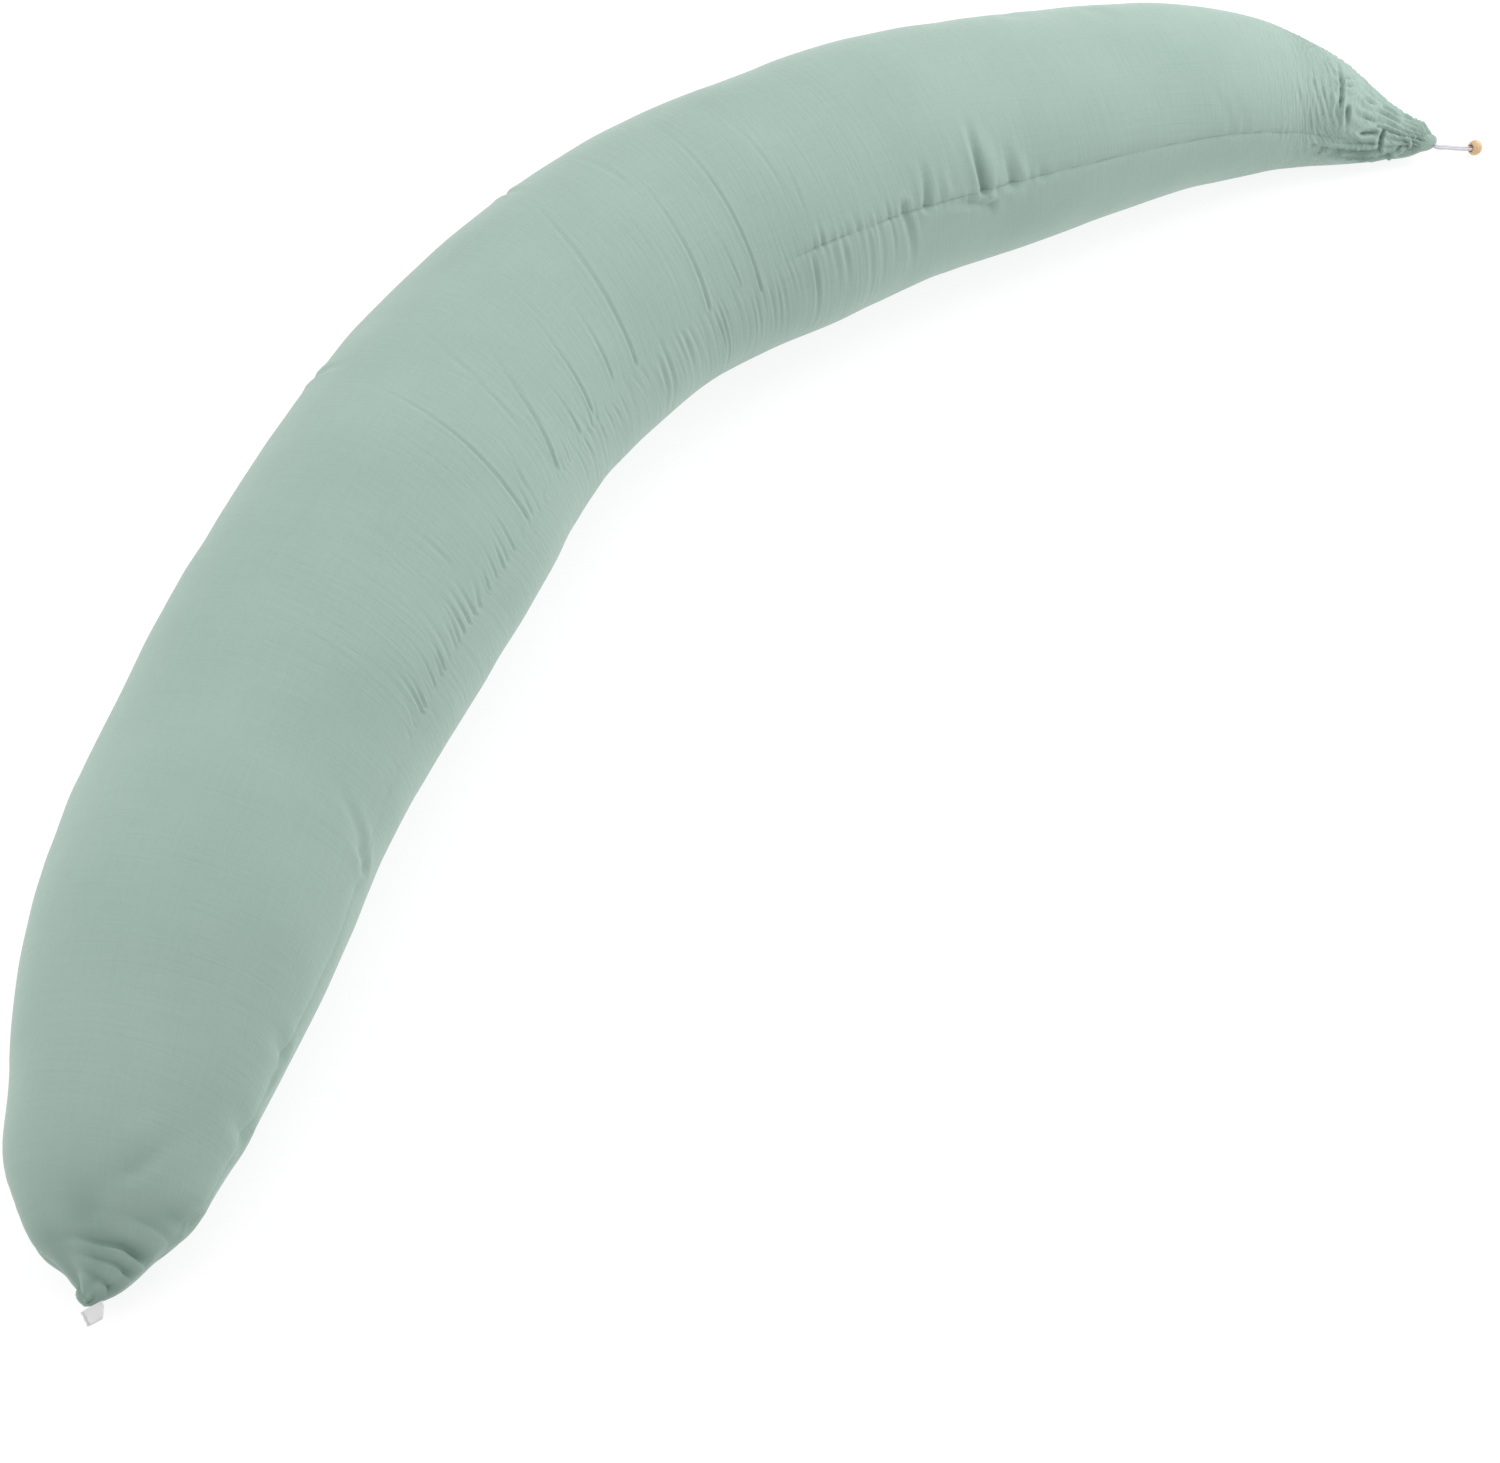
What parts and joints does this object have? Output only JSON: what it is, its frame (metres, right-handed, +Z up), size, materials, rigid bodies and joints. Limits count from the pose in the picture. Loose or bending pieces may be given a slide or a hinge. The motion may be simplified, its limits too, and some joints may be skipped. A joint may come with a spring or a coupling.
{
  "type": "pregnancy pillow",
  "caption": "Long crescent body pillow of sage green cotton, puckered inside the bend, with a folded white tape at one tip and a draw cord with a wooden bead at the other.",
  "frame": {"origin": "on the floor under the middle of the pillow's bounding box, without the cord and its bead", "axes": "+X along the line between the tips, from the taped tip to the corded one; +Y to the outer side of the bend; +Z up"},
  "size_m": [1.7253, 0.5592, 0.2067],
  "materials": {
    "sage_cotton": "soft matte plain weave",
    "white_tape": "matte woven tape",
    "white_cord": "matte braided cotton",
    "pale_wood": "smooth, unvarnished"
  },
  "bodies": {
    "root": {"pillow_body": "sage_cotton", "end_tab": "white_tape", "cord_strand_1": "white_cord", "cord_strand_2": "white_cord", "bead": "pale_wood"}
  },
  "joints": []
}
